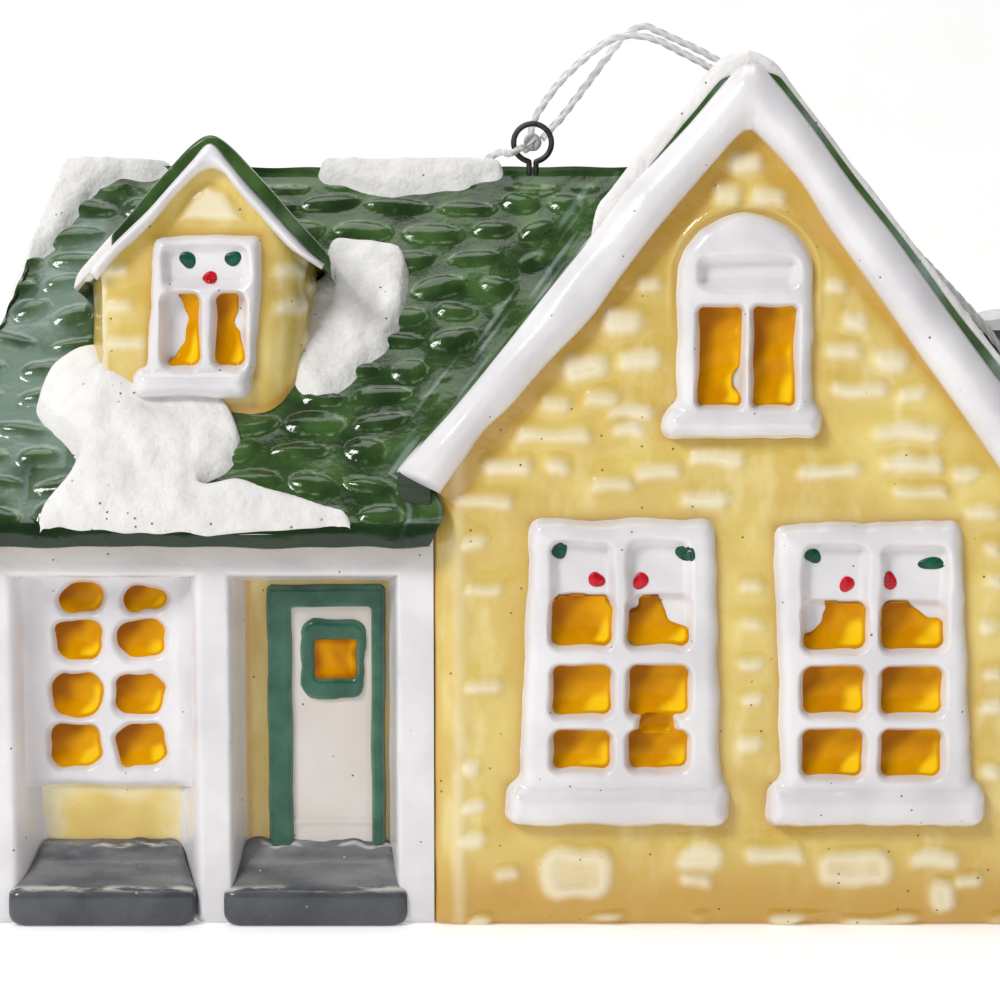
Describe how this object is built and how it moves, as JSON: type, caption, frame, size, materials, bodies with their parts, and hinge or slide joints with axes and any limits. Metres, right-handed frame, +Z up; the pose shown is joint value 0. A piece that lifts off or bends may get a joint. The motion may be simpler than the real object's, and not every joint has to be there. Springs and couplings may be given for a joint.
{
  "type": "christmas house ornament",
  "caption": "Glazed ceramic house ornament with a brick gable, a porch wing, a dormer, a snowy shingle roof and a cord loop on a wire eye.",
  "frame": {"origin": "middle of the foot print, on the surface the house stands on", "axes": "+Z up, -Y out of the house front, +X from the porch wing towards the gable house"},
  "size_m": [0.105, 0.049, 0.0819],
  "materials": {
    "yellow_glaze": "gloss",
    "white_glaze": "gloss",
    "green_glaze": "gloss",
    "door_glaze": "gloss",
    "grey_glaze": "gloss",
    "amber_glaze": "gloss",
    "snow_glaze": "satin",
    "leaf_paint": "gloss",
    "berry_paint": "gloss",
    "wire": "satin",
    "cord": "gloss"
  },
  "bodies": {
    "house": {"base_plate": "yellow_glaze", "front_gable_wall": "yellow_glaze", "gable_right_wall": "yellow_glaze", "gable_left_wall": "yellow_glaze", "gable_rear_wall": "yellow_glaze", "wing_end_wall": "yellow_glaze", "wing_rear_wall": "yellow_glaze", "porch_back_wall": "yellow_glaze", "porch_post_left": "white_glaze", "porch_post_middle": "white_glaze", "porch_post_right": "white_glaze", "porch_lintel": "white_glaze", "porch_step_left": "grey_glaze", "porch_step_right": "grey_glaze", "front_roof_slope": "green_glaze", "rear_roof_slope": "green_glaze", "hip_roof_end": "green_glaze", "gable_roof_left": "green_glaze", "gable_roof_right": "green_glaze", "gable_roof_rear": "green_glaze", "gable_trim_left": "white_glaze", "gable_trim_right": "white_glaze", "dormer_walls": "yellow_glaze", "dormer_roof_left": "green_glaze", "dormer_roof_right": "green_glaze", "dormer_trim_left": "white_glaze", "dormer_trim_right": "white_glaze", "left_window_frame": "white_glaze", "left_window_panes": "amber_glaze", "right_window_frame": "white_glaze", "right_window_panes": "amber_glaze", "attic_window_frame": "white_glaze", "attic_window_panes": "amber_glaze", "dormer_window_frame": "white_glaze", "dormer_window_panes": "amber_glaze", "porch_window_frame": "white_glaze", "porch_window_panes": "amber_glaze", "door_frame": "door_glaze", "door_leaf": "white_glaze", "door_light_frame": "door_glaze", "door_light_pane": "amber_glaze", "holly_leaf_dots": "leaf_paint", "berry_dots": "berry_paint", "chimney_stack": "grey_glaze", "chimney_snow": "snow_glaze", "gable_snow_left": "snow_glaze", "gable_snow_right": "snow_glaze", "ridge_snow": "snow_glaze", "corner_snow": "snow_glaze", "snow_drift_left": "snow_glaze", "snow_drift_right": "snow_glaze", "hanger_eye": "wire", "cord_knot": "cord"},
    "hanging_loop": {"hanger_cord": "cord"}
  },
  "joints": [
    {"name": "loop_swing", "type": "hinge", "parent": "house", "child": "hanging_loop", "pos_m": [0.0031, 0, 0.0706], "axis": [0, -1, 0], "range_deg": [0, 115]}
  ]
}
